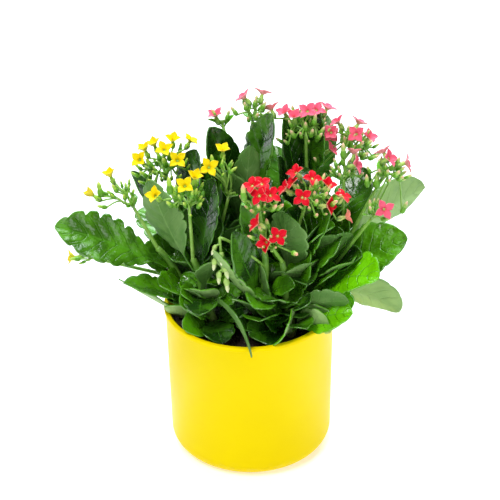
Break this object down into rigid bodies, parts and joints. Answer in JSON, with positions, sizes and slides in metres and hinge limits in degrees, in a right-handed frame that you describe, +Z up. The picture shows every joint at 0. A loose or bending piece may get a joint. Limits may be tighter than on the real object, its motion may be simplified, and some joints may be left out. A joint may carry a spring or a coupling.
{
  "type": "potted kalanchoe",
  "caption": "Flowering succulent with scalloped leaves and clusters of small yellow, red and pink four-petalled flowers, growing in a plain round yellow pot.",
  "frame": {"origin": "centre of the pot's underside, where it stands", "axes": "+Z up; +X to the right and +Y to the back, seen from the side that the plant is shown from"},
  "size_m": [0.2851, 0.1867, 0.2783],
  "materials": {
    "pot": "smooth satin yellow",
    "soil": "crumbly dark potting soil",
    "stem": "fleshy green stem",
    "leaf": "waxy green leaf, glossy above and dull grey-green below",
    "yellow_flowers": "soft yellow petals on green stalks",
    "red_flowers": "soft red petals on green stalks",
    "pink_flowers": "soft pink petals on green stalks"
  },
  "bodies": {
    "root": {"pot": "pot", "soil": "soil", "yellow_stem_left": "stem", "yellow_stem_front": "stem", "yellow_stem_back": "stem", "red_stem_left": "stem", "red_stem_front": "stem", "red_stem_back": "stem", "pink_stem_left": "stem", "pink_stem_middle": "stem", "pink_stem_right": "stem", "yellow_leaf_01": "leaf", "yellow_leaf_02": "leaf", "yellow_leaf_03": "leaf", "yellow_leaf_04": "leaf", "yellow_leaf_05": "leaf", "yellow_leaf_06": "leaf", "yellow_leaf_07": "leaf", "yellow_leaf_08": "leaf", "yellow_leaf_09": "leaf", "yellow_leaf_10": "leaf", "red_leaf_01": "leaf", "red_leaf_02": "leaf", "red_leaf_03": "leaf", "red_leaf_04": "leaf", "red_leaf_05": "leaf", "red_leaf_06": "leaf", "red_leaf_07": "leaf", "red_leaf_08": "leaf", "pink_leaf_01": "leaf", "pink_leaf_02": "leaf", "pink_leaf_03": "leaf", "pink_leaf_04": "leaf", "pink_leaf_05": "leaf", "pink_leaf_06": "leaf", "pink_leaf_07": "leaf", "pink_leaf_08": "leaf", "pink_leaf_09": "leaf", "pink_leaf_10": "leaf", "pink_leaf_11": "leaf", "pink_leaf_12": "leaf", "pink_leaf_13": "leaf", "pink_leaf_14": "leaf", "pink_leaf_15": "leaf", "pink_leaf_16": "leaf", "yellow_flower_head_01": "yellow_flowers", "yellow_flower_head_02": "yellow_flowers", "yellow_flower_head_03": "yellow_flowers", "yellow_flower_head_04": "yellow_flowers", "yellow_flower_head_05": "yellow_flowers", "red_flower_head_01": "red_flowers", "red_flower_head_02": "red_flowers", "red_flower_head_03": "red_flowers", "pink_flower_head_01": "pink_flowers", "pink_flower_head_02": "pink_flowers", "pink_flower_head_03": "pink_flowers", "pink_flower_head_04": "pink_flowers", "pink_flower_head_05": "pink_flowers", "pink_flower_head_06": "pink_flowers", "pink_flower_head_07": "pink_flowers"}
  },
  "joints": []
}
